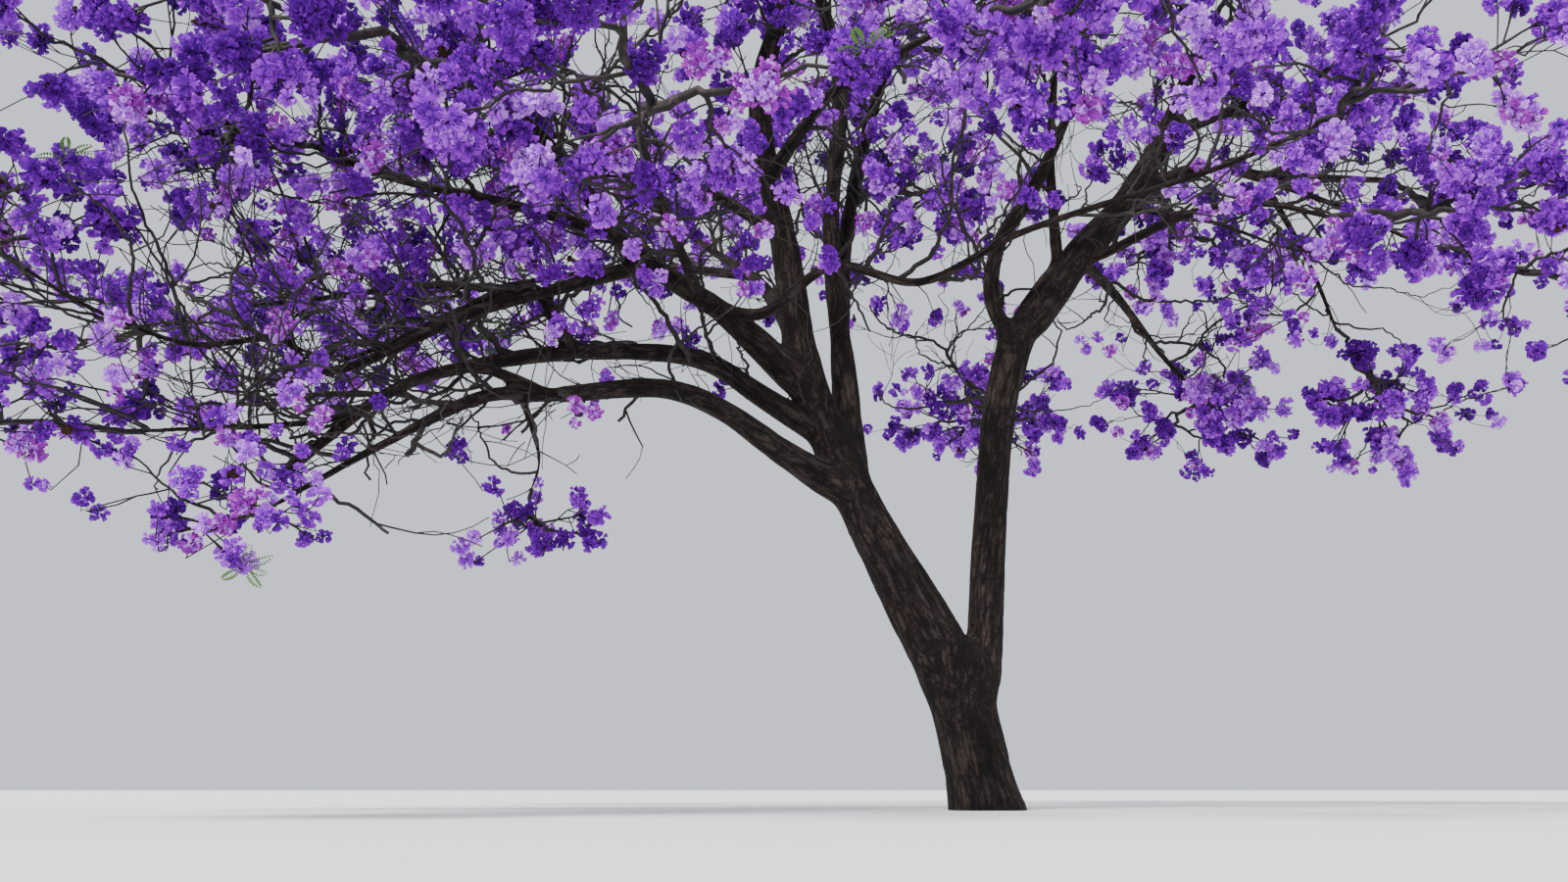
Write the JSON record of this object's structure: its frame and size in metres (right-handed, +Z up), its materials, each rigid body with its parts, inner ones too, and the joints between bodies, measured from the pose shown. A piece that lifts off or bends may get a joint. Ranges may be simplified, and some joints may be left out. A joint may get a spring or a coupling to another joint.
{
  "type": "flowering tree",
  "caption": "Wide, lopsided jacaranda in full violet blossom, its leaning trunk forked low into stems that carry long sinuous boughs.",
  "frame": {"origin": "on the ground under the middle of the trunk's flat cut", "axes": "+Z up; +X towards the crown's shorter side, on the picture's right; -Y towards the viewer"},
  "size_m": [26.7592, 20.8169, 16.458],
  "materials": {
    "bark": "rough, fissured along the limb",
    "blossom": "soft, matt petals"
  },
  "bodies": {
    "root": {"trunk": "bark", "left_stem": "bark", "right_stem": "bark", "upright_stem": "bark", "rear_stem": "bark", "upper_left_bough": "bark", "long_left_bough": "bark", "crossing_bough": "bark", "cut_bough": "bark", "low_left_bough": "bark", "low_fork_bough": "bark", "hanging_bough": "bark", "right_bough": "bark", "inner_bough": "bark", "twin_bough": "bark", "drooping_bough": "bark", "level_bough": "bark", "upper_right_bough": "bark", "back_left_bough": "bark", "far_back_left_bough": "bark", "shoulder_bough": "bark", "left_high_bough": "bark", "far_left_bough": "bark", "back_top_bough": "bark", "back_bough": "bark", "back_right_bough": "bark", "back_right_high_bough": "bark", "right_back_bough": "bark", "right_low_bough": "bark", "front_bough": "bark", "front_left_bough": "bark", "left_top_blossom": "blossom", "top_blossom": "blossom", "rear_top_blossom": "blossom", "upper_left_blossom": "blossom", "long_left_blossom": "blossom", "front_right_blossom": "blossom", "low_left_blossom": "blossom", "low_fork_blossom": "blossom", "hanging_blossom": "blossom", "right_top_blossom": "blossom", "inner_blossom": "blossom", "mid_top_blossom": "blossom", "drooping_blossom": "blossom", "right_end_blossom": "blossom", "upper_right_blossom": "blossom", "back_left_blossom": "blossom", "far_back_left_blossom": "blossom", "left_shoulder_blossom": "blossom", "left_high_blossom": "blossom", "far_left_blossom": "blossom", "back_top_blossom": "blossom", "back_blossom": "blossom", "back_right_blossom": "blossom", "back_right_high_blossom": "blossom", "right_back_blossom": "blossom", "right_low_blossom": "blossom", "front_blossom": "blossom", "front_left_blossom": "blossom"}
  },
  "joints": []
}
